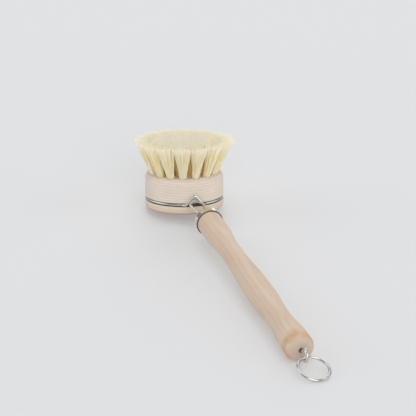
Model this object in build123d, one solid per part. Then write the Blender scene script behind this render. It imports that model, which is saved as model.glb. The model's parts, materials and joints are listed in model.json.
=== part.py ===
from build123d import *
import os
from dataclasses import dataclass
from math import asin, atan2, cos, degrees, hypot, radians, sin, sqrt, tan

# Dish brush at rest on a table: a turned handle holds a sprung wire clip, and the clip's ring
# carries a round head with tufts of bristle. +X runs along the handle to the hanging ring, +Z is
# up, and the table is z = 0. Lengths are in millimetres and angles in degrees.

# Head block
head_diameter = 50.0
head_height = 22.5
back_round = 1.8
face_round = 4.0
groove_rise = 6.3

# Wire clip: one wire, whose ring lies in the head's groove
wire_diameter = 1.5
ring_sink = 0.8
clip_gap = 0.3
groove_gap = 0.45
neck_gap = 22.4
neck_drop = 0.7
clip_bend = 10.5
clip_turn = -2.2
exit_angle = 13.0
kink_angle = 18.8
open_angle = 22.8
crossing_rise = 3.8
crossing_step = 3.1
crossing_gap = 1.35
corner_spread = 4.3
corner_rise = 1.5
corner_gap = 2.85
kink_bend_radius = 3.0
exit_bend_radius = 2.2
tight_bend_radius = 1.5
mouth_bend_radius = 4.0
leg_gap = 0.4
leg_depth = 28.0

# Tufts: each is folded over a flat wire anchor at the bottom of its hole
tuft_hole_diameter = 5.0
tuft_hole_depth = 10.0
tuft_clearance = 0.1
plug_recess = 0.8
bristle_length = 20.5
strand_root = 2.0
strand_root_width = 0.7
centre_tip_width = 7.0
inner_tip_width = 7.0
middle_tip_width = 8.8
outer_tip_width = 10.0
inner_spread = 1.1
middle_spread = 3.3
outer_spread = 7.4
inner_circle_share = 0.248
middle_circle_share = 0.516
outer_circle_share = 0.812
inner_count = 6
middle_count = 11
outer_count = 16
outer_phase = 3.6
tip_strand_share = 0.15
strand_ring_shares = ((1, 0.0), (4, 0.5), (8, 1.0))
anchor_length = 5.8
anchor_height = 2.0
anchor_thickness = 0.4
anchor_clearance = 0.05

# Handle and ferrule
front_diameter = 15.8
waist_diameter = 12.9
belly_diameter = 16.2
hollow_diameter = 14.1
butt_diameter = 17.1
butt_round = 4.5
score_width = 1.4
score_depth = 0.5
grip_length = 167.0
shoulder_share = 0.07
waist_share = 0.24
belly_share = 0.59
hollow_share = 0.78
butt_share = 0.94
ferrule_length = 6.0
ferrule_wall = 0.7
ferrule_round = 2.4
ferrule_clearance = 0.1
ferrule_lip = 0.45
ferrule_mouth_diameter = 5.0
bore_clearance = 0.1

# Screw eye and hanging ring
eye_wire_diameter = 1.8
eye_hole_diameter = 5.2
eye_neck = 1.2
eye_bend_radius = 1.8
eye_end_angle = 220.0
eye_screw_length = 14.0
pilot_clearance = 0.05
hanger_diameter = 20.0
hanger_wire_diameter = 1.8
hanger_yaw = 17.0
hanger_gap = 0.3
hanger_joint_angle = 20.0
hanger_slit = 0.3

# One overrun for every cut that has to run past a surface
overrun = 1.0

# Derived sizes
head_radius = head_diameter / 2
wire_radius = wire_diameter / 2
ring_radius = head_radius - ring_sink
leg_offset = wire_radius + leg_gap / 2
leg_bore_radius = leg_offset + wire_radius + bore_clearance
plug_radius = tuft_hole_diameter / 2 - tuft_clearance
inner_circle = inner_circle_share * head_radius
middle_circle = middle_circle_share * head_radius
outer_circle = outer_circle_share * head_radius
front_radius = front_diameter / 2
butt_radius = butt_diameter / 2
ferrule_bore = front_radius + ferrule_clearance
ferrule_radius = ferrule_bore + ferrule_wall
end_x = ferrule_length + grip_length
eye_wire_radius = eye_wire_diameter / 2
eye_loop_radius = eye_hole_diameter / 2 + eye_wire_radius
eye_x = end_x + eye_neck + eye_loop_radius + eye_wire_radius
hanger_wire_radius = hanger_wire_diameter / 2
hanger_radius = hanger_diameter / 2 - hanger_wire_radius


@dataclass(frozen=True)
class Row:
    """One circle of tufts in the head's face."""

    name: str
    count: int
    circle: float
    spread: float
    tip_width: float
    phase: float

    def lean(self):
        """Return the angle by which the row's tufts lean outward."""
        return degrees(atan2(self.spread, bristle_length))

    def frame(self):
        """Return the frame of the row's first hole: origin in the face, Z out along the tuft."""
        return Pos(self.circle, 0, head_height) * Rot(0, self.lean(), 0)

    def turns(self):
        """Return a turn about the head's axis for each of the row's tufts."""
        return [Rot(0, 0, self.phase + 360 * number / self.count) for number in range(self.count)]


rows = (
    Row("centre", 1, 0, 0, centre_tip_width, 0),
    Row("inner", inner_count, inner_circle, inner_spread, inner_tip_width, outer_phase),
    Row("middle", middle_count, middle_circle, middle_spread, middle_tip_width, outer_phase),
    Row("outer", outer_count, outer_circle, outer_spread, outer_tip_width, outer_phase),
)

# The head's frame has its origin in the middle of the back, X towards the handle and Z along the
# head's axis. The handle's frame has its origin in the ferrule's front face and X along the handle.
head_place = (
    Pos(-neck_gap, 0, -neck_drop) * Rot(0, -clip_bend, 0) * Pos(-head_radius, 0, -groove_rise)
)
clip_place = head_place * Rot(0, 0, clip_turn)


def point_of(place):
    """Return the origin of a place as a vector."""
    return Vector(*place.position)


def rest_place():
    """Lay the handle's frame so that the head's far back edge and the butt touch the table."""
    back = point_of(head_place * Pos(back_round - head_radius, 0, back_round))
    butt = Vector(end_x - butt_round, 0, butt_round - butt_radius)
    run = butt - back
    slope = atan2(run.Z, run.X) - asin((butt_round - back_round) / hypot(run.X, run.Z))
    height = butt_round - (butt.Z * cos(slope) - butt.X * sin(slope))
    return Pos(0, 0, height) * Rot(0, degrees(slope), 0)


def head_block():
    """Turn the head's disc, cut the clip's groove and drill the tufts' holes."""
    block = Pos(0, 0, head_height / 2) * Cylinder(head_radius, head_height)
    rims = block.edges().filter_by(GeomType.CIRCLE).sort_by(Axis.Z)
    block = fillet(rims[0], back_round)
    block = fillet(block.edges().filter_by(GeomType.CIRCLE).sort_by(Axis.Z)[-1], face_round)
    groove_floor = ring_radius - wire_radius - clip_gap
    groove_width = wire_diameter + 2 * groove_gap
    band = Cylinder(head_radius + overrun, groove_width) - Cylinder(groove_floor, groove_width)
    drill = Cylinder(tuft_hole_diameter / 2, tuft_hole_depth + overrun)
    slot = anchor(anchor_clearance)
    cuts = [Pos(0, 0, groove_rise) * band]
    for row in rows:
        for turn in row.turns():
            cuts.append(turn * row.frame() * Pos(0, 0, (overrun - tuft_hole_depth) / 2) * drill)
            cuts.append(turn * row.frame() * slot)
    return block - cuts


def anchor(clearance):
    """Return the flat wire anchor that stands across a hole's bottom, grown by a clearance."""
    plate = Box(
        anchor_thickness + 2 * clearance,
        anchor_length + 2 * clearance,
        anchor_height + clearance,
    )
    return Pos(0, 0, (anchor_height + clearance) / 2 - tuft_hole_depth) * plate


def tuft_anchors():
    """Place one anchor at the bottom of every hole."""
    plate = anchor(0)
    return Compound([turn * row.frame() * plate for row in rows for turn in row.turns()])


def strand(root_x, root_y, tip_x, tip_y, turn, root_width, tip_width):
    """Return one four-sided strand between a square below the face and a square at the tips."""
    root = Pos(root_x, root_y, head_height - strand_root) * Rot(0, 0, turn)
    tip = Pos(tip_x, tip_y, head_height + bristle_length) * Rot(0, 0, turn)
    ends = [root * Rectangle(root_width, root_width), tip * Rectangle(tip_width, tip_width)]
    return loft(ends, ruled=True)


def tuft(row):
    """Return the row's first tuft: a plug in its hole, fused with the strands that flare from it."""
    plug_length = tuft_hole_depth - tuft_clearance - plug_recess
    plug = Pos(0, 0, -plug_recess - plug_length / 2) * Cylinder(plug_radius, plug_length)
    plug = row.frame() * (plug - anchor(tuft_clearance))
    root_centre = row.circle - strand_root * tan(radians(row.lean()))
    root_circle = plug_radius - strand_root_width
    tip_strand_width = tip_strand_share * row.tip_width
    tip_circle = (row.tip_width - tip_strand_width) / 2
    strands = []
    for count, share in strand_ring_shares:
        for number in range(count):
            turn = 360 * number / count
            out_x, out_y = cos(radians(turn)) * share, sin(radians(turn)) * share
            strands.append(
                strand(
                    root_centre + root_circle * out_x,
                    root_circle * out_y,
                    row.circle + row.spread + tip_circle * out_x,
                    tip_circle * out_y,
                    turn,
                    strand_root_width,
                    tip_strand_width,
                )
            )
    return plug.fuse(*strands)


def around(radius, angle, rise=0):
    """Return a point of the head's frame from its distance to the head's axis and its angle."""
    return Vector(radius * cos(radians(angle)), radius * sin(radians(angle)), groove_rise + rise)


def clip_leg(side, rise):
    """Return one half of the clip's wire, from the handle's bore to the end of its ring.

    The wire runs from its leg's corner, on the given side, up and over to the other side of the
    head, and there goes down into the groove.
    """
    corner = Vector(
        head_radius + wire_radius + corner_gap, side * corner_spread, groove_rise + corner_rise
    )
    crossing = Vector(head_radius + wire_radius + crossing_gap, 0, groove_rise + rise)
    exit_radius = head_radius + wire_radius + clip_gap
    kink_radius = ring_radius / cos(radians(open_angle - kink_angle))
    head_points = [
        corner,
        crossing,
        around(exit_radius, -side * exit_angle),
        around(kink_radius, -side * kink_angle),
        around(ring_radius, -side * open_angle),
    ]
    bore_points = [
        Vector(ferrule_wall + leg_depth, side * leg_offset, 0),
        Vector(ferrule_wall, side * leg_offset, 0),
    ]
    points = bore_points + [point_of(clip_place * Pos(*point)) for point in head_points]
    bends = [
        mouth_bend_radius,
        tight_bend_radius,
        tight_bend_radius,
        exit_bend_radius,
        kink_bend_radius,
    ]
    return FilletPolyline(*points, radius=bends)


def wire_clip():
    """Sweep the clip's wire: leg, crossing, open ring round the head, crossing and leg."""
    lower = clip_leg(-1, crossing_rise)
    upper = clip_leg(1, crossing_rise + crossing_step)
    quarter = (360 - 2 * open_angle) / 4
    stops = [around(ring_radius, open_angle + quarter * number) for number in range(5)]
    ring = [
        clip_place * ThreePointArc(stops[0], stops[1], stops[2]),
        clip_place * ThreePointArc(stops[2], stops[3], stops[4]),
    ]
    path = Wire(lower.edges() + [edge for arc in ring for edge in arc.edges()] + upper.edges())
    section = Plane(origin=lower @ 0, z_dir=lower % 0) * Circle(wire_radius)
    return sweep(section, path=path)


def ferrule():
    """Turn the drawn cap: a sleeve with a rounded front wall and a mouth for the two legs."""
    mouth = ferrule_mouth_diameter / 2
    inner_round = ferrule_round - ferrule_wall
    outside = [
        Line((0, mouth), (0, ferrule_radius - ferrule_round)),
        RadiusArc(
            (0, ferrule_radius - ferrule_round), (ferrule_round, ferrule_radius), ferrule_round
        ),
        Line((ferrule_round, ferrule_radius), (ferrule_length, ferrule_radius)),
        Line((ferrule_length, ferrule_radius), (ferrule_length, ferrule_bore + ferrule_lip)),
        Line(
            (ferrule_length, ferrule_bore + ferrule_lip),
            (ferrule_length - ferrule_lip, ferrule_bore),
        ),
    ]
    inside = [
        Line((ferrule_length - ferrule_lip, ferrule_bore), (ferrule_round, ferrule_bore)),
        RadiusArc(
            (ferrule_round, ferrule_bore), (ferrule_wall, ferrule_bore - inner_round), -inner_round
        ),
        Line((ferrule_wall, ferrule_bore - inner_round), (ferrule_wall, mouth)),
        Line((ferrule_wall, mouth), (0, mouth)),
    ]
    return turned(outside + inside)


def turned(lines):
    """Revolve a closed outline, drawn as distance along the handle and radius, about its axis."""
    outline = make_face([edge for line in lines for edge in line.edges()])
    return revolve(Plane.XZ * outline, Axis.X)


def ease(start, end):
    """Return a smooth curve that leaves its start and meets its end parallel to the axis."""
    middle = (start[0] + end[0]) / 2
    return Bezier(start, (middle, start[1]), (middle, end[1]), end)


def handle():
    """Turn the handle with a scored line at the ferrule's edge, and drill both of its ends."""
    front_x = ferrule_wall + ferrule_clearance
    stations = [
        (ferrule_length + shoulder_share * grip_length, front_radius),
        (ferrule_length + waist_share * grip_length, waist_diameter / 2),
        (ferrule_length + belly_share * grip_length, belly_diameter / 2),
        (ferrule_length + hollow_share * grip_length, hollow_diameter / 2),
        (ferrule_length + butt_share * grip_length, butt_radius),
    ]
    nose = [(front_x, front_radius - ferrule_round), (front_x + ferrule_round, front_radius)]
    knob = [(end_x - butt_round, butt_radius), (end_x, butt_radius - butt_round)]
    score = [
        (ferrule_length - score_width / 2, front_radius),
        (ferrule_length, front_radius - score_depth),
        (ferrule_length + score_width / 2, front_radius),
    ]
    lines = [
        Line((front_x, 0), nose[0]),
        RadiusArc(nose[0], nose[1], ferrule_round),
        Polyline(nose[1], *score, stations[0]),
        *[ease(start, end) for start, end in zip(stations, stations[1:])],
        Line(stations[-1], knob[0]),
        RadiusArc(knob[0], knob[1], butt_round),
        Line(knob[1], (end_x, 0)),
        Line((end_x, 0), (front_x, 0)),
    ]
    leg_bore = bore(front_x - overrun, ferrule_wall + leg_depth + overrun, leg_bore_radius)
    pilot_radius = eye_wire_radius + pilot_clearance
    pilot = bore(end_x - eye_screw_length - overrun, end_x + overrun, pilot_radius)
    return turned(lines) - leg_bore - pilot


def bore(start, end, radius):
    """Return a round cutter along the handle's axis between two distances."""
    return Pos((start + end) / 2, 0, 0) * Rot(0, 90, 0) * Cylinder(radius, end - start)


def screw_eye():
    """Bend the screw eye: a shank in the butt, a small bend off the axis and an open loop."""
    reach = sqrt(eye_loop_radius**2 + 2 * eye_loop_radius * eye_bend_radius)
    bend_x = eye_x - reach
    meet_angle = 180 - degrees(asin(eye_bend_radius / (eye_loop_radius + eye_bend_radius)))
    turn = degrees(atan2(reach, eye_bend_radius))

    def loop_point(angle):
        """Return a point of the loop's middle line."""
        return Vector(
            eye_x + eye_loop_radius * cos(radians(angle)), 0, eye_loop_radius * sin(radians(angle))
        )

    def bend_point(angle):
        """Return a point of the small bend's middle line."""
        return Vector(
            bend_x + eye_bend_radius * sin(radians(angle)),
            0,
            eye_bend_radius * (1 - cos(radians(angle))),
        )

    sweep_angle = meet_angle + 360 - eye_end_angle
    stops = [loop_point(meet_angle - sweep_angle * share / 4) for share in range(5)]
    start = Vector(end_x - eye_screw_length, 0, 0)
    lines = [
        Line(start, bend_point(0)),
        ThreePointArc(bend_point(0), bend_point(turn / 2), bend_point(turn)),
        ThreePointArc(stops[0], stops[1], stops[2]),
        ThreePointArc(stops[2], stops[3], stops[4]),
    ]
    path = Wire([edge for line in lines for edge in line.edges()])
    return sweep(Plane(origin=start, z_dir=(1, 0, 0)) * Circle(eye_wire_radius), path=path)


def hanging_ring():
    """Bend the hanging ring flat about its own middle, with a fine slit where its ends meet."""
    slit_angle = degrees(hanger_slit / hanger_radius)
    section = Plane.XZ * Pos(hanger_radius, 0) * Circle(hanger_wire_radius)
    ring = revolve(section, Axis.Z, revolution_arc=360 - slit_angle)
    return Rot(0, 0, hanger_joint_angle) * ring


def hanger_frame(rest):
    """Return the ring's place, from the bottom of the eye's hole down to the table."""
    eye = point_of(rest * Pos(eye_x, 0, 0))
    drop = eye_hole_diameter / 2 - hanger_wire_radius - hanger_gap
    hang = eye - Vector(0, 0, drop)
    tilt = degrees(asin((hang.Z - hanger_wire_radius) / (2 * hanger_radius)))
    turn = Rot(0, 0, hanger_yaw) * Rot(0, tilt, 0)
    return Pos(*hang) * turn * Pos(hanger_radius, 0, 0)


def build():
    """Make every piece in its own frame and lay it in the resting brush."""
    rest = rest_place()
    head = rest * head_place
    pieces = {
        "handle": rest * handle(),
        "ferrule": rest * ferrule(),
        "wire_clip": rest * wire_clip(),
        "screw_eye": rest * screw_eye(),
        "hanging_ring": hanger_frame(rest) * hanging_ring(),
        "head_block": head * head_block(),
        "tuft_anchors": head * tuft_anchors(),
    }
    for row in rows:
        first = tuft(row)
        for number, turn in enumerate(row.turns(), start=1):
            pieces[f"tuft_{row.name}_{number:02d}"] = head * turn * first
    box = Compound(list(pieces.values())).bounding_box()
    centring = Pos(-box.center().X, -box.center().Y, 0)
    report_places(centring, rest, head)
    return {name: centring * piece for name, piece in pieces.items()}


def report_places(centring, rest, head):
    """Print where the mounts and joint axes lie, in millimetres."""
    hanger = hanger_frame(rest)
    places = {
        "head back": centring * head,
        "head tips": centring * head * Pos(0, 0, head_height + bristle_length),
        "handle front": centring * rest,
        "handle end": centring * rest * Pos(end_x, 0, 0),
        "eye middle": centring * rest * Pos(eye_x, 0, 0),
        "hanger middle": centring * hanger,
        "hanger in eye": centring * hanger * Pos(-hanger_radius, 0, 0),
    }
    for name, place in places.items():
        middle = point_of(place)
        print(name, "at", ", ".join(f"{value:.4f}" for value in middle))
        for axis, step in (("X", (1, 0, 0)), ("Y", (0, 1, 0)), ("Z", (0, 0, 1))):
            way = point_of(place * Pos(*step)) - middle
            print("   ", axis, ", ".join(f"{value:.5f}" for value in way))


os.makedirs("parts", exist_ok=True)
for node, shape in build().items():
    export_step(shape, f"parts/{node}.step")
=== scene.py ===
"""The looks of a dish brush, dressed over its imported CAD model.

The brush lies on a pale table: a turned beech handle holds a sprung wire clip in a nickel
ferrule, the clip's ring carries a beech head, and the head's holes hold tufts of stiff plant
fibre. Lengths are in metres, in the model's own frame: +X runs along the handle to the hanging
ring and +Z is up.
"""

from __future__ import annotations

import json
import logging
import math
import random
from dataclasses import dataclass, field
from enum import Enum
from typing import Any, Sequence, Union

import bpy
from mathutils import Matrix, Vector

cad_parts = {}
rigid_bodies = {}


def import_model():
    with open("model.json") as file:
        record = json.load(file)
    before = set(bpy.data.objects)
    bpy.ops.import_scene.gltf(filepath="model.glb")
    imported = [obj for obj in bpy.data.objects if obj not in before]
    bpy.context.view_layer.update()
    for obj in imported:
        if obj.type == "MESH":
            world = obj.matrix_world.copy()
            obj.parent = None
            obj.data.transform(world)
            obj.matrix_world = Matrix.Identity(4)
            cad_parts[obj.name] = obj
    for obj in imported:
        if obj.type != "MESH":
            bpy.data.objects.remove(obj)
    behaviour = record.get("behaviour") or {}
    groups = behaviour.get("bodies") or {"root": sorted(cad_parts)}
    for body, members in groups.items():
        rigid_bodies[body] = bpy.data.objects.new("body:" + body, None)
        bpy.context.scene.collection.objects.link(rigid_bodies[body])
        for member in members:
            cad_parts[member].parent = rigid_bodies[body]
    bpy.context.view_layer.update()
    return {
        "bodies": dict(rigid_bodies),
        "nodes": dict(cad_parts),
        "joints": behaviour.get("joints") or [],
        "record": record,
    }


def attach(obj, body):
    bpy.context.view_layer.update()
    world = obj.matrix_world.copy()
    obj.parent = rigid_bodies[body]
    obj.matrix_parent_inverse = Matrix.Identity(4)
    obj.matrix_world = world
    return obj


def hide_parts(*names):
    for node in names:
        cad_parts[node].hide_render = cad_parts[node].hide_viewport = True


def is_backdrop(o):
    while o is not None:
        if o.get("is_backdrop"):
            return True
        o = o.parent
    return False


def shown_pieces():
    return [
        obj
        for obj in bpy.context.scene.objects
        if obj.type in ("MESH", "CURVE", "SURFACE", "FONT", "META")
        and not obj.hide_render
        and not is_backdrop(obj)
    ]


LOG = logging.getLogger("dish_brush")
MM = 0.001
ORIGIN = Vector((0.0, 0.0, 0.0))
NO_TURN = (0.0, 0.0, 0.0)
TONE = "strand_tone"

Colour = tuple[float, float, float]
Triple = tuple[float, float, float]
Value = Union[float, "Signal"]


def srgb(red: int, green: int, blue: int) -> Colour:
    """Turn screen values from 0 to 255 into the linear colour that a shader takes.

    Args:
        red: Red on the screen.
        green: Green on the screen.
        blue: Blue on the screen.

    Returns:
        The same colour as linear values from 0 to 1.
    """

    def linear(level: int) -> float:
        """Undo the screen's curve for one channel."""
        share = level / 255
        return share / 12.92 if share <= 0.04045 else ((share + 0.055) / 1.055) ** 2.4

    return linear(red), linear(green), linear(blue)


def dimmed(colour: Colour, share: float) -> Colour:
    """Return a share of a colour's light."""
    red, green, blue = colour
    return red * share, green * share, blue * share


class Operation(str, Enum):
    """What a Math node does with its numbers."""

    ADD = "ADD"
    SUBTRACT = "SUBTRACT"
    MULTIPLY = "MULTIPLY"
    POWER = "POWER"
    SQUARE_ROOT = "SQRT"
    SINE = "SINE"
    ABSOLUTE = "ABSOLUTE"
    LEAST = "MINIMUM"
    GREATEST = "MAXIMUM"


class Signal:
    """A value on its way through a material's nodes, which takes Python's arithmetic."""

    def __init__(self, recipe: "Recipe", socket: bpy.types.NodeSocket) -> None:
        """Keep the recipe that the value belongs to and the socket that it leaves."""
        self.recipe = recipe
        self.socket = socket

    def __add__(self, other: Value) -> "Signal":
        """Add a value."""
        return self.recipe.math(Operation.ADD, self, other)

    __radd__ = __add__

    def __mul__(self, other: Value) -> "Signal":
        """Multiply by a value."""
        return self.recipe.math(Operation.MULTIPLY, self, other)

    __rmul__ = __mul__

    def __sub__(self, other: Value) -> "Signal":
        """Take a value away."""
        return self.recipe.math(Operation.SUBTRACT, self, other)

    def __rsub__(self, other: Value) -> "Signal":
        """Take this value away from another."""
        return self.recipe.math(Operation.SUBTRACT, other, self)

    def __pow__(self, other: Value) -> "Signal":
        """Raise to a power."""
        return self.recipe.math(Operation.POWER, self, other)


class Recipe:
    """One material's node tree, and the few ways in which a finish adds to it."""

    def __init__(self, name: str) -> None:
        """Start a material with one Principled shader on its output.

        Args:
            name: The material's name.
        """
        self.material = bpy.data.materials.new(name)
        self.material.use_nodes = True
        self.tree = self.material.node_tree
        self.tree.nodes.clear()
        self.shader = self.node("ShaderNodeBsdfPrincipled")
        surface = self.out(self.shader, "BSDF")
        self.output = self.node("ShaderNodeOutputMaterial", Surface=surface)

    def node(
        self, kind: str, settings: dict[str, Any] | None = None, **sockets: Any
    ) -> bpy.types.Node:
        """Add a node, set it up, then feed its sockets.

        Args:
            kind: The node's type.
            settings: The node's own settings, with a ramp's stops under "stops".
            sockets: Numbers, colours or signals by socket name, with _ for a space.

        Returns:
            The node.
        """
        node = self.tree.nodes.new(kind)
        for name, value in (settings or {}).items():
            if name == "stops":
                self.set_stops(node.color_ramp, value)
            else:
                setattr(node, name, value)
        for name, value in sockets.items():
            self.feed(node, name.replace("_", " "), value)
        return node

    @staticmethod
    def set_stops(ramp: bpy.types.ColorRamp, stops: Sequence[tuple[float, Colour]]) -> None:
        """Lay a ramp's stops.

        Args:
            ramp: The ramp.
            stops: Each stop's place from 0 to 1 and its colour.
        """
        while len(ramp.elements) < len(stops):
            ramp.elements.new(0.5)
        for element, (place, colour) in zip(ramp.elements, stops):
            element.position = place
            element.color = (*colour, 1.0)

    def feed(self, node: bpy.types.Node, name: str, value: Any) -> None:
        """Give a socket a number, a colour or a link.

        Args:
            node: The node whose socket is fed.
            name: The socket's name, or its index as text.
            value: A number, a colour, a vector or a signal.
        """
        socket = node.inputs[int(name)] if name.isdigit() else node.inputs[name]
        if isinstance(value, Signal):
            self.tree.links.new(value.socket, socket)
        elif socket.type == "RGBA":
            socket.default_value = (*value, 1.0)
        else:
            socket.default_value = value

    def out(self, node: bpy.types.Node, name: str) -> Signal:
        """Return what leaves one of a node's sockets."""
        return Signal(self, node.outputs[name])

    def math(self, operation: Operation, first: Value, second: Value = 0.0) -> Signal:
        """Work out a number from one or two others.

        Args:
            operation: What is done with them.
            first: The first number.
            second: The second number, where the operation takes one.

        Returns:
            The result.
        """
        node = self.node("ShaderNodeMath", {"operation": operation.value})
        self.feed(node, "0", first)
        self.feed(node, "1", second)
        return self.out(node, "Value")

    def reach(self, first: Signal, second: Signal) -> Signal:
        """Return how far a point stands off an axis, from its two distances across that axis."""
        return self.math(Operation.SQUARE_ROOT, first * first + second * second)

    def step(self, value: Signal, low: float, high: float) -> Signal:
        """Turn a value into a smooth step.

        Args:
            value: The value.
            low: Where the step starts, at 0.
            high: Where it ends, at 1.

        Returns:
            The step.
        """
        settings = {"interpolation_type": "SMOOTHSTEP"}
        node = self.node(
            "ShaderNodeMapRange", settings, Value=value, From_Min=low, From_Max=high
        )
        return self.out(node, "Result")

    def blend(self, share: Value, low: Colour | Signal, high: Colour | Signal) -> Signal:
        """Mix two colours.

        Args:
            share: How much of the second colour there is.
            low: The first colour.
            high: The second colour.

        Returns:
            The mixed colour.
        """
        node = self.node("ShaderNodeMix", {"data_type": "RGBA"})
        # Its sockets for numbers, vectors and colours share their names, so they go by number.
        share_socket, low_socket, high_socket = node.inputs[0], node.inputs[6], node.inputs[7]
        for socket, value in ((share_socket, share), (low_socket, low), (high_socket, high)):
            if isinstance(value, Signal):
                self.tree.links.new(value.socket, socket)
            else:
                socket.default_value = value if isinstance(value, float) else (*value, 1.0)
        return Signal(self, node.outputs[2])

    def place(self, centre: Vector = ORIGIN, turn: Triple = NO_TURN) -> Signal:
        """Return the surface's place in a piece's own turned frame.

        Args:
            centre: The frame's origin.
            turn: The frame's turn as Euler angles.

        Returns:
            The place as a vector.
        """
        coordinates = self.node("ShaderNodeTexCoord")
        mapping = self.node(
            "ShaderNodeMapping",
            {"vector_type": "TEXTURE"},
            Vector=self.out(coordinates, "Object"),
            Location=tuple(centre),
            Rotation=turn,
        )
        return self.out(mapping, "Vector")

    def stretched(self, place: Signal, scale: Triple) -> Signal:
        """Scale a place along each of its axes.

        Args:
            place: The place.
            scale: The scale along X, Y and Z.

        Returns:
            The scaled place.
        """
        node = self.node("ShaderNodeVectorMath", {"operation": "MULTIPLY"})
        self.feed(node, "0", place)
        self.feed(node, "1", scale)
        return self.out(node, "Vector")

    def noise(
        self, place: Signal, scale: float = 1.0, detail: float = 2.0, rough: float = 0.5
    ) -> Signal:
        """Return a soft noise from 0 to 1 at a place.

        Args:
            place: The place.
            scale: How many features lie along a unit.
            detail: How many finer layers are added.
            rough: How strong the finer layers are.

        Returns:
            The noise.
        """
        node = self.node(
            "ShaderNodeTexNoise", Vector=place, Scale=scale, Detail=detail, Roughness=rough
        )
        return self.out(node, "Fac")

    def axes(self, place: Signal) -> tuple[Signal, Signal, Signal]:
        """Split a place into its X, Y and Z."""
        node = self.node("ShaderNodeSeparateXYZ", Vector=place)
        return self.out(node, "X"), self.out(node, "Y"), self.out(node, "Z")

    def bump(self, height: Signal, depth: float, strength: float) -> None:
        """Press a height into the shader's normal.

        Args:
            height: The height, from 0 to 1.
            depth: What a height of 1 stands for.
            strength: The share of it that shows.
        """
        node = self.node("ShaderNodeBump", Height=height, Distance=depth, Strength=strength)
        self.feed(self.shader, "Normal", self.out(node, "Normal"))

    def let_light_through(self, colour: Colour, share: float) -> None:
        """Let a share of the light pass through the surface, as thin fibre does.

        Args:
            colour: The colour of the light that comes through.
            share: How much of it does.
        """
        thin = self.node("ShaderNodeBsdfTranslucent", Color=colour)
        both = self.node("ShaderNodeMixShader", Fac=share)
        self.feed(both, "1", self.out(self.shader, "BSDF"))
        self.feed(both, "2", self.out(thin, "BSDF"))
        self.feed(self.output, "Surface", self.out(both, "Shader"))

    def surface(self, **sockets: Any) -> None:
        """Feed the shader's own sockets, with _ for a space in a name."""
        for name, value in sockets.items():
            self.feed(self.shader, name.replace("_", " "), value)


@dataclass(frozen=True)
class Grain:
    """Beech's figure, whose stretches count features to a metre along, across and up."""

    drift_stretch: Triple = (10.0, 45.0, 45.0)
    drift_reach: float = 2.0 * MM
    drift_phase: float = 3.0
    late_power: float = 2.0
    streak_stretch: Triple = (40.0, 1900.0, 1900.0)
    streak_detail: float = 3.0
    streak_rough: float = 0.6
    patch_middle: float = 0.4
    ray_stretch: Triple = (420.0, 2600.0, 1500.0)
    ray_detail: float = 1.0
    ray_start: float = 0.66
    ray_full: float = 0.74
    streak_height: float = 0.6
    ray_height: float = -0.5
    late_height: float = -0.3
    relief: float = 0.05 * MM
    relief_share: float = 0.5
    roughness: float = 0.52
    roughness_spread: float = 0.12
    shine: float = 0.4


@dataclass(frozen=True)
class Beech:
    """Bare turned beech: growth layers, fine streaks, patches and short ray flecks."""

    name: str
    centre: Vector
    turn: Triple
    pale: Colour
    layer: Colour
    pith: tuple[float, float]
    spacing: float
    layer_share: float
    streak_share: float
    patch_share: float
    patch_stretch: Triple
    grain: Grain = Grain()
    fleck: Colour = srgb(168, 126, 102)
    fleck_share: float = 0.25

    def material(self) -> bpy.types.Material:
        """Make the wood, with its grain along the frame's X axis.

        Returns:
            The material.
        """
        grain = self.grain
        mix = Recipe(self.name)
        place = mix.place(self.centre, self.turn)
        along, across, up = mix.axes(place)
        drift = mix.noise(mix.stretched(place, grain.drift_stretch)) - 0.5
        depth = mix.reach(across - self.pith[0], up - self.pith[1]) + drift * grain.drift_reach
        year = mix.math(
            Operation.SINE, depth * (2 * math.pi / self.spacing) + drift * grain.drift_phase
        )
        late = (year * 0.5 + 0.5) ** grain.late_power
        streaks = mix.noise(
            mix.stretched(place, grain.streak_stretch),
            detail=grain.streak_detail,
            rough=grain.streak_rough,
        )
        patch = mix.noise(mix.stretched(place, self.patch_stretch))
        rays = mix.noise(mix.stretched(place, grain.ray_stretch), detail=grain.ray_detail)
        fleck = mix.step(rays, grain.ray_start, grain.ray_full)
        tone = late * self.layer_share + (streaks - 0.5) * self.streak_share
        tone = tone + (patch - grain.patch_middle) * self.patch_share
        tone = mix.math(Operation.LEAST, mix.math(Operation.GREATEST, tone, 0.0), 1.0)
        colour = mix.blend(tone, self.pale, self.layer)
        colour = mix.blend(fleck * self.fleck_share, colour, self.fleck)
        colour = self.marks(mix, place, colour)
        height = streaks * grain.streak_height + fleck * grain.ray_height
        mix.bump(height + late * grain.late_height, grain.relief, grain.relief_share)
        mix.surface(
            Base_Color=colour,
            Roughness=grain.roughness + streaks * grain.roughness_spread,
            Specular_IOR_Level=grain.shine,
        )
        return mix.material

    def marks(self, mix: Recipe, place: Signal, colour: Signal) -> Signal:
        """Return the wood's colour with the marks that only one piece has.

        Args:
            mix: The wood's recipe.
            place: The place in the wood's frame.
            colour: The wood's colour so far.

        Returns:
            The marked colour.
        """
        return colour


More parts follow.
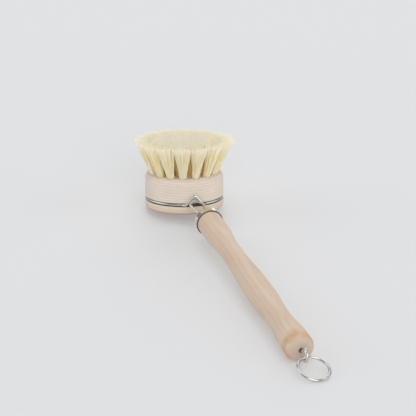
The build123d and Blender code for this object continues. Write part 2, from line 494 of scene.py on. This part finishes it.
@dataclass(frozen=True)
class HeadBeech(Beech):
    """The head's beech: painted shade in its groove and on its back's rim, warm towards its
    back.
    """

    groove_rise: float = 6.3 * MM
    groove_half: float = 1.25 * MM
    groove_fade: float = 1.15
    groove_mouth: float = 24.9 * MM
    groove_floor: float = 24.0 * MM
    # Painted shade: the groove's bare stretch, where no wire fills it, is darkened as its depth
    # shades it.
    groove_painted_shade: Colour = srgb(74, 50, 34)
    groove_painted_shade_share: float = 0.9
    warm: Colour = srgb(214, 176, 138)
    warm_share: float = 0.5
    # Painted shade: the back's rounded rim is darkened where it turns under, over the table.
    rim_painted_shade: Colour = srgb(150, 108, 84)
    rim_painted_shade_share: float = 0.7
    rim_start: float = 0.1 * MM
    rim_end: float = 1.3 * MM

    def marks(self, mix: Recipe, place: Signal, colour: Signal) -> Signal:
        """Warm the wood behind the groove, then paint shade on the back's rim and in the groove.

        Args:
            mix: The wood's recipe.
            place: The place in the head's frame.
            colour: The wood's colour so far.

        Returns:
            The stained colour.
        """
        along, across, up = mix.axes(place)
        behind = 1.0 - mix.step(up, 0.0, self.groove_rise)
        colour = mix.blend(behind * self.warm_share, colour, self.warm)
        # Painted shade on the back's rounded rim.
        rim_painted_shade = 1.0 - mix.step(up, self.rim_start, self.rim_end)
        colour = mix.blend(rim_painted_shade * self.rim_painted_shade_share, colour, self.rim_painted_shade)
        # Painted shade in the groove, where no wire fills it.
        radius = mix.reach(along, across)
        inside = 1.0 - mix.step(radius, self.groove_floor, self.groove_mouth)
        aside = mix.math(Operation.ABSOLUTE, up - self.groove_rise)
        level = 1.0 - mix.step(aside, self.groove_half, self.groove_half * self.groove_fade)
        return mix.blend(inside * level * self.groove_painted_shade_share, colour, self.groove_painted_shade)


@dataclass(frozen=True, kw_only=True)
class HandleBeech(Beech):
    """The handle's beech: warm round its butt, darker round its screw's hole, painted shade in
    its scored line.
    """

    butt_x: float
    patch_scale: float = 90.0
    patch_start: float = 0.3
    patch_full: float = 0.65
    shoulder_start: float = 14.0 * MM
    shoulder_full: float = 5.0 * MM
    shoulder_colour: Colour = srgb(203, 158, 116)
    shoulder_share: float = 0.8
    end_start: float = 2.2 * MM
    end_full: float = 0.3 * MM
    end_colour: Colour = srgb(204, 186, 170)
    end_share: float = 0.85
    hole_radius: float = 1.2 * MM
    hole_dark_reach: float = 2.2 * MM
    score_x: float = 6.0 * MM
    score_half: float = 0.8 * MM
    score_core: float = 0.6
    # Darker wood round the screw's hole, and painted shade in the scored line at the ferrule's
    # back edge.
    hole_dark_and_score_shade: Colour = srgb(70, 46, 32)
    hole_dark_and_score_shade_share: float = 0.85

    def marks(self, mix: Recipe, place: Signal, colour: Signal) -> Signal:
        """Tint the butt's shoulder and end, darken the wood round the screw's hole and paint
        shade in the scored line.

        Args:
            mix: The wood's recipe.
            place: The place in the handle's frame.
            colour: The wood's colour so far.

        Returns:
            The tinted colour.
        """
        along, across, up = mix.axes(place)
        patch = mix.noise(place, self.patch_scale)
        shoulder = mix.step(
            along, self.butt_x - self.shoulder_start, self.butt_x - self.shoulder_full
        )
        warm = shoulder * mix.step(patch, self.patch_start, self.patch_full)
        colour = mix.blend(warm * self.shoulder_share, colour, self.shoulder_colour)
        end = mix.step(along, self.butt_x - self.end_start, self.butt_x - self.end_full)
        colour = mix.blend(end * self.end_share, colour, self.end_colour)
        radius = mix.reach(across, up)
        hole = (1.0 - mix.step(radius, self.hole_radius, self.hole_dark_reach)) * end
        # Painted shade: a dark band in the scored line at the ferrule's back edge.
        aside = mix.math(Operation.ABSOLUTE, along - self.score_x)
        score_painted_shade = 1.0 - mix.step(aside, self.score_half * self.score_core, self.score_half)
        hole_dark_and_score_shade_mask = mix.math(Operation.GREATEST, hole, score_painted_shade)
        return mix.blend(hole_dark_and_score_shade_mask * self.hole_dark_and_score_shade_share, colour, self.hole_dark_and_score_shade)


@dataclass(frozen=True)
class PlatedMetal:
    """Nickel plate on drawn wire or pressed sheet, with faint marks and an uneven shine."""

    name: str
    colour: Colour = srgb(214, 212, 206)
    roughness: float = 0.16
    roughness_spread: float = 0.14
    cloud_scale: float = 260.0
    cloud_detail: float = 3.0
    cloud_share: float = 0.35
    cloud_dimming: float = 0.8
    mark_scale: float = 2600.0
    mark_depth: float = 0.02 * MM
    mark_share: float = 0.25

    def material(self) -> bpy.types.Material:
        """Make the plate.

        Returns:
            The material.
        """
        mix = Recipe(self.name)
        place = mix.place()
        cloud = mix.noise(place, self.cloud_scale, self.cloud_detail)
        dull = dimmed(self.colour, self.cloud_dimming)
        mix.bump(mix.noise(place, self.mark_scale), self.mark_depth, self.mark_share)
        mix.surface(
            Base_Color=mix.blend(cloud * self.cloud_share, self.colour, dull),
            Metallic=1.0,
            Roughness=self.roughness + cloud * self.roughness_spread,
        )
        return mix.material


@dataclass(frozen=True)
class PlantFibre:
    """Pale stiff plant fibre: each strand has a tone of its own, and the tips are bleached."""

    centre: Vector
    turn: Triple
    face: float
    tips: float
    outer_circle: float
    name: str = "bristle_fibre"
    tones: tuple[tuple[float, Colour], ...] = (
        (0.0, srgb(249, 222, 130)),
        (0.3, srgb(253, 238, 176)),
        (0.5, srgb(255, 249, 218)),
        (0.7, srgb(255, 252, 234)),
        (1.0, srgb(255, 253, 242)),
    )
    tone_floor: float = 0.1
    strand_share: float = 0.7
    mottle_scale: float = 900.0
    mottle_share: float = 0.15
    clump_scale: float = 240.0
    clump_detail: float = 1.0
    clump_share: float = 0.6
    # Painted shade: a golden tint on fibre deep inside and between the tufts, for light bounced
    # among the strands.
    deep_painted_shade: Colour = srgb(255, 236, 172)
    outside_start: float = -2.0 * MM
    outside_full: float = 0.8 * MM
    above_start: float = 5.0 * MM
    above_full: float = -3.0 * MM
    bleached: Colour = (1.0, 1.0, 1.0)
    bleached_start: float = 10.0 * MM
    bleached_share: float = 0.6
    relief: float = 0.03 * MM
    relief_share: float = 0.4
    roughness: float = 0.5
    roughness_spread: float = 0.1
    shine: float = 0.35
    glow: Colour = srgb(255, 254, 248)
    glow_share: float = 0.25

    def material(self) -> bpy.types.Material:
        """Make the fibre, with a painted golden shade deep between the tufts and pale outside.

        Returns:
            The material.
        """
        mix = Recipe(self.name)
        strand = mix.out(mix.node("ShaderNodeAttribute", {"attribute_name": TONE}), "Fac")
        place = mix.place(self.centre, self.turn)
        along, across, up = mix.axes(place)
        mottle = mix.noise(place, self.mottle_scale)
        clump = mix.noise(place, self.clump_scale, self.clump_detail) - 0.5
        tone = strand * self.strand_share + mottle * self.mottle_share
        tone = tone + clump * self.clump_share + self.tone_floor
        ramp = mix.node("ShaderNodeValToRGB", {"stops": self.tones}, Fac=tone)
        whitening = mix.step(up, self.face + self.bleached_start, self.tips)
        colour = mix.blend(
            whitening * self.bleached_share, mix.out(ramp, "Color"), self.bleached
        )
        # Painted shade: the golden tint covers fibre that is neither outside the outer row nor
        # near the tips.
        outside = mix.step(
            mix.reach(along, across),
            self.outer_circle + self.outside_start,
            self.outer_circle + self.outside_full,
        )
        above = mix.step(up, self.face + self.above_start, self.tips + self.above_full)
        open_air = mix.math(Operation.GREATEST, outside, above)
        mix.bump(mottle, self.relief, self.relief_share)
        mix.surface(
            Base_Color=mix.blend(open_air, self.deep_painted_shade, colour),
            Roughness=self.roughness + mottle * self.roughness_spread,
            Specular_IOR_Level=self.shine,
        )
        mix.let_light_through(self.glow, self.glow_share)
        return mix.material


@dataclass(frozen=True)
class TableTop:
    """The plain pale table, lit from below as a product photographer's is."""

    colour: Colour = srgb(192, 193, 195)
    cloud_scale: float = 3.0
    cloud_share: float = 0.3
    cloud_dimming: float = 0.97
    roughness: float = 0.6
    shine: float = 0.1
    lit: Colour = (1.0, 1.0, 1.0)
    glow: float = 0.25

    def material(self) -> bpy.types.Material:
        """Make the table's matt finish, with the faintest mottle.

        Returns:
            The material.
        """
        mix = Recipe("table_top")
        cloud = mix.noise(mix.place(), self.cloud_scale)
        dull = dimmed(self.colour, self.cloud_dimming)
        mix.surface(
            Base_Color=mix.blend(cloud * self.cloud_share, self.colour, dull),
            Roughness=self.roughness,
            Specular_IOR_Level=self.shine,
            Emission_Color=self.lit,
            Emission_Strength=self.glow,
        )
        return mix.material


class Body(str, Enum):
    """The bodies that the scene's own pieces ride on."""

    HEAD = "head"


def select_only(obj: bpy.types.Object) -> None:
    """Deselect everything, then select one object and make it active.

    Args:
        obj: The object.
    """
    bpy.ops.object.select_all(action="DESELECT")
    obj.select_set(True)
    bpy.context.view_layer.objects.active = obj


def dress(obj: bpy.types.Object, material: bpy.types.Material) -> None:
    """Give an object one material in its only slot."""
    obj.data.materials.clear()
    obj.data.materials.append(material)


@dataclass(frozen=True)
class TuftRow:
    """One circle of tufts in the head's face, with the circle that their tips stand on."""

    name: str
    count: int
    circle: float
    tip_circle: float
    tip_width: float
    strands: int


@dataclass(frozen=True)
class Scatter:
    """How far chance moves a tuft and its strands, and how their thickness and tone vary."""

    flare: float = 0.03
    sway_out: float = 0.25 * MM
    sway_round: float = 0.35 * MM
    angle: float = 0.1
    tip_out: float = 0.12 * MM
    tip_round: float = 0.3 * MM
    tip_short: float = 0.3 * MM
    bow_out: float = 0.2 * MM
    bow_round: float = 0.15 * MM
    thinnest: float = 0.8
    thickest: float = 1.15
    tone_middle: float = 0.62
    tone_spread: float = 0.24


@dataclass
class BristleHead:
    """The round head's block with its tufts of loose strands."""

    block: str = "head_block"
    anchors: str = "tuft_anchors"
    back: Vector = field(default_factory=lambda: Vector((-101.7937, 0.0, 3.5598)) * MM)
    tilt: float = math.radians(-8.7736)
    face: float = 22.5 * MM
    bristle_length: float = 20.5 * MM
    root_depth: float = 2.0 * MM
    root_radius: float = 2.2 * MM
    edge_drop: float = 0.2 * MM
    edge_bow: float = 0.6 * MM
    fan: float = 1.15
    strand_radius: float = 0.21 * MM
    strand_taper: float = 0.25
    strand_sides: int = 5
    strand_cuts: tuple[float, ...] = (0.3, 0.55, 0.8)
    smooth_angle: float = math.radians(50)
    phase: float = math.radians(3.6)
    grain_turn: float = math.radians(78.0)
    rows: tuple[TuftRow, ...] = (
        TuftRow("centre", 1, 0.0, 0.0, 9.6 * MM, 130),
        TuftRow("inner", 6, 6.2 * MM, 7.9 * MM, 10.2 * MM, 140),
        TuftRow("middle", 11, 12.9 * MM, 16.9 * MM, 12.0 * MM, 160),
        TuftRow("outer", 16, 20.3 * MM, 27.2 * MM, 10.8 * MM, 160),
    )
    scatter: Scatter = Scatter()
    seed: int = 20

    def make(self, frame: dict[str, Any]) -> None:
        """Dress the block and its anchors, and replace each plain tuft by loose strands.

        Args:
            frame: The loaded model.
        """
        place = Matrix.Translation(self.back) @ Matrix.Rotation(self.tilt, 4, "Y")
        wood = HeadBeech(
            "head_beech",
            self.back,
            tuple((place @ Matrix.Rotation(self.grain_turn, 4, "Z")).to_euler()),
            pale=srgb(230, 218, 205),
            layer=srgb(200, 174, 154),
            pith=(0.0, -1.0),
            spacing=1.85 * MM,
            layer_share=0.26,
            streak_share=0.6,
            patch_share=0.4,
            patch_stretch=(9.0, 150.0, 150.0),
        )
        wire = PlatedMetal("anchor_wire", roughness=0.3)
        dress(frame["nodes"][self.block], wood.material())
        dress(frame["nodes"][self.anchors], wire.material())
        tips = self.face + self.bristle_length
        outer_circle = self.rows[-1].circle
        fibre = PlantFibre(
            self.back, tuple(place.to_euler()), self.face, tips, outer_circle
        ).material()
        strand = self.model_strand()
        chance = random.Random(self.seed)
        for row in self.rows:
            for number in range(row.count):
                turn = self.phase + 2 * math.pi * number / row.count
                name = f"{row.name}_{number + 1:02d}"
                tuft = self.model_tuft(strand, row, f"bristles_{name}", chance)
                tuft.data.transform(place @ Matrix.Rotation(turn, 4, "Z"))
                dress(tuft, fibre)
                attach(tuft, Body.HEAD.value)
                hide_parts(f"tuft_{name}")
        bpy.data.objects.remove(strand)

    def model_strand(self) -> bpy.types.Object:
        """Model one strand of unit length and radius: a rod cut across in a few places.

        Returns:
            The strand, from z = 0 at its root to z = 1 at its tip.
        """
        bpy.ops.object.select_all(action="DESELECT")
        bpy.ops.mesh.primitive_cylinder_add(
            vertices=self.strand_sides, radius=1.0, depth=1.0, location=(0, 0, 0.5)
        )
        strand = bpy.context.object
        bpy.ops.object.transform_apply(location=True, rotation=True, scale=True)
        bpy.ops.object.mode_set(mode="EDIT")
        for height in self.strand_cuts:
            bpy.ops.mesh.select_all(action="SELECT")
            bpy.ops.mesh.bisect(plane_co=(0, 0, height), plane_no=(0, 0, 1))
        bpy.ops.object.mode_set(mode="OBJECT")
        bpy.ops.object.shade_smooth_by_angle(angle=self.smooth_angle)
        strand.data.attributes.new(TONE, "FLOAT", "POINT")
        return strand

    def model_tuft(
        self, strand: bpy.types.Object, row: TuftRow, name: str, chance: random.Random
    ) -> bpy.types.Object:
        """Copy the strand into a tuft that flares from its hole to the trimmed face.

        Args:
            strand: The unit strand.
            row: The tuft's row.
            name: The tuft's name.
            chance: Where its small irregularities come from.

        Returns:
            The tuft in the head's frame, at angle zero.
        """
        loose = self.scatter
        golden = math.pi * (3 - math.sqrt(5))
        spin = chance.uniform(0, 2 * math.pi)
        flare = chance.uniform(1 - loose.flare, 1 + loose.flare)
        sway_out = chance.uniform(-loose.sway_out, loose.sway_out)
        sway_round = chance.uniform(-loose.sway_round, loose.sway_round)
        sway = Vector((sway_out, sway_round, 0))
        slope = (row.tip_circle - row.circle) / self.bristle_length
        hole = Vector((row.circle - self.root_depth * slope, 0, self.face - self.root_depth))
        end = Vector((row.tip_circle, 0, self.face + self.bristle_length))
        root_reach = self.root_radius - self.strand_radius
        tip_reach = row.tip_width / 2 - self.strand_radius
        copies = []
        for number in range(row.strands):
            share = math.sqrt((number + 0.5) / row.strands)
            angle = spin + number * golden + chance.uniform(-loose.angle, loose.angle)
            way = Vector((math.cos(angle), math.sin(angle), 0))
            wide = Vector((way.x, way.y * self.fan, 0))
            root = hole + way * share * root_reach
            tip = end + sway * share + wide * share * flare * tip_reach
            tip.x += chance.gauss(0, loose.tip_out)
            tip.y += chance.gauss(0, loose.tip_round)
            tip.z -= abs(chance.gauss(0, loose.tip_short)) + self.edge_drop * share * share
            bow = way * (chance.gauss(0.0, loose.bow_out) - self.edge_bow * share)
            bow += Vector((-way.y, way.x, 0)) * chance.gauss(0, loose.bow_round)
            copies.append(self.copy_strand(strand, root, tip, bow, chance))
        select_only(copies[0])
        for copy in copies[1:]:
            copy.select_set(True)
        bpy.ops.object.join()
        tuft = bpy.context.object
        tuft.name = tuft.data.name = name
        return tuft

    def copy_strand(
        self,
        strand: bpy.types.Object,
        root: Vector,
        tip: Vector,
        bow: Vector,
        chance: random.Random,
    ) -> bpy.types.Object:
        """Copy the strand with its own mesh and lay it from a root to a tip.

        Args:
            strand: The unit strand.
            root: Where the strand's line starts.
            tip: Where it ends.
            bow: How far its middle stands off that line.
            chance: Where its thickness and tone come from.

        Returns:
            The copy.
        """
        loose = self.scatter
        mesh = strand.data.copy()
        radius = self.strand_radius * chance.uniform(loose.thinnest, loose.thickest)
        turn = chance.uniform(0, 2 * math.pi)
        cos, sin = math.cos(turn), math.sin(turn)
        for vertex in mesh.vertices:
            x, y, along = vertex.co
            # The bow is 0 at both ends and whole in the middle.
            lift = 4 * along * (1 - along)
            size = radius * (1 - self.strand_taper * along)
            line = root.lerp(tip, along) + bow * lift
            vertex.co = line + Vector((x * cos - y * sin, x * sin + y * cos, 0)) * size
        tone = min(1.0, max(0.0, chance.gauss(loose.tone_middle, loose.tone_spread)))
        mesh.attributes[TONE].data.foreach_set("value", [tone] * len(mesh.vertices))
        copy = bpy.data.objects.new("strand", mesh)
        bpy.context.scene.collection.objects.link(copy)
        return copy


@dataclass
class TurnedHandle:
    """The beech handle with its ferrule, the wire clip, the screw eye and the hanging ring."""

    front: Vector = field(default_factory=lambda: Vector((-55.6362, 0.0, 13.6243)) * MM)
    slope: float = math.radians(1.7266)
    length: float = 173.0 * MM

    def make(self, frame: dict[str, Any]) -> None:
        """Dress the handle's nodes.

        Args:
            frame: The loaded model.
        """
        wood = HandleBeech(
            "handle_beech",
            self.front,
            (0.0, self.slope, 0.0),
            pale=srgb(222, 202, 182),
            layer=srgb(200, 164, 136),
            pith=(-20.0 * MM, -35.0 * MM),
            spacing=2.6 * MM,
            layer_share=0.16,
            streak_share=0.4,
            patch_share=0.9,
            patch_stretch=(22.0, 90.0, 90.0),
            butt_x=self.length,
        )
        finishes = {
            "handle": wood,
            "ferrule": PlatedMetal("ferrule_nickel", srgb(226, 224, 219), 0.1),
            "wire_clip": PlatedMetal("clip_nickel"),
            "screw_eye": PlatedMetal("eye_nickel"),
            "hanging_ring": PlatedMetal("ring_nickel"),
        }
        for name, finish in finishes.items():
            dress(frame["nodes"][name], finish.material())


@dataclass(frozen=True)
class Lamp:
    """One broad soft panel of light, far away."""

    name: str
    way: Triple
    strength: float
    spread: float

    def hang(self) -> None:
        """Hang the lamp so that its light comes from its way."""
        lamp = bpy.data.lights.new(self.name, "SUN")
        lamp.energy = self.strength
        lamp.angle = self.spread
        stand = bpy.data.objects.new(self.name, lamp)
        bpy.context.scene.collection.objects.link(stand)
        stand.rotation_euler = Vector(self.way).to_track_quat("Z", "Y").to_euler()


@dataclass
class Studio:
    """The table, the soft light and the camera."""

    eye: Vector = field(default_factory=lambda: Vector((1128.65, -400.5, 561.1)) * MM)
    azimuth: float = math.radians(71.298)
    pitch: float = math.radians(23.368)
    roll: float = math.radians(2.477)
    sensor: float = 36.0
    frame_pixels: int = 416
    lens_pixels: float = 2200.0
    nearest: float = 10.0 * MM
    table_side: float = 12.0
    lamps: tuple[Lamp, ...] = (
        Lamp("ceiling", (0.0, 0.0, 1.0), 0.55, math.radians(50)),
        Lamp("back_panel", (-0.80, 0.27, 0.53), 0.90, math.radians(60)),
        Lamp("left_panel", (-0.30, -0.88, 0.37), 0.76, math.radians(50)),
        Lamp("right_panel", (0.30, 0.88, 0.37), 0.57, math.radians(50)),
        Lamp("front_panel", (0.89, -0.10, 0.44), 1.35, math.radians(55)),
    )
    sky: Colour = (0.25, 0.25, 0.252)
    bounces: int = 24

    def make(self) -> None:
        """Set up the camera, then the table, then the light."""
        self.set_camera()
        self.lay_table()
        self.set_light()

    def set_camera(self) -> None:
        """Put the camera where the photograph was taken from."""
        data = bpy.data.cameras.new("photo_view")
        data.sensor_fit = "HORIZONTAL"
        data.sensor_width = self.sensor
        data.lens = self.sensor * self.lens_pixels / self.frame_pixels
        data.clip_start = self.nearest
        camera = bpy.data.objects.new("photo_view", data)
        bpy.context.scene.collection.objects.link(camera)
        camera.matrix_world = (
            Matrix.Translation(self.eye)
            @ Matrix.Rotation(self.azimuth, 4, "Z")
            @ Matrix.Rotation(math.pi / 2 - self.pitch, 4, "X")
            @ Matrix.Rotation(self.roll, 4, "Z")
        )
        bpy.context.scene.camera = camera

    def lay_table(self) -> None:
        """Lay a wide plain table top."""
        bpy.ops.object.select_all(action="DESELECT")
        bpy.ops.mesh.primitive_plane_add(size=self.table_side)
        table = bpy.context.object
        table.name = "table"
        dress(table, TableTop().material())
        table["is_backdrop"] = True

    def set_light(self) -> None:
        """Light the table evenly: a faint room, a ceiling and four panels round the brush."""
        scene = bpy.context.scene
        scene.view_settings.view_transform = "Standard"
        world = bpy.data.worlds.new("room")
        world.use_nodes = True
        background = world.node_tree.nodes["Background"]
        background.inputs["Color"].default_value = (*self.sky, 1.0)
        background.inputs["Strength"].default_value = 1.0
        scene.world = world
        scene.cycles.max_bounces = self.bounces
        scene.cycles.diffuse_bounces = self.bounces
        scene.cycles.transmission_bounces = self.bounces
        for lamp in self.lamps:
            lamp.hang()


def main() -> None:
    """Load the model, dress it, light it and log what was made."""
    logging.basicConfig(level=logging.INFO, format="%(name)s: %(message)s")
    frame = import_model()
    Studio().make()
    BristleHead().make(frame)
    TurnedHandle().make(frame)
    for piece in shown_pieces():
        LOG.info("%s: %d faces", piece.name, len(piece.data.polygons))


if __name__ == "__main__":
    main()
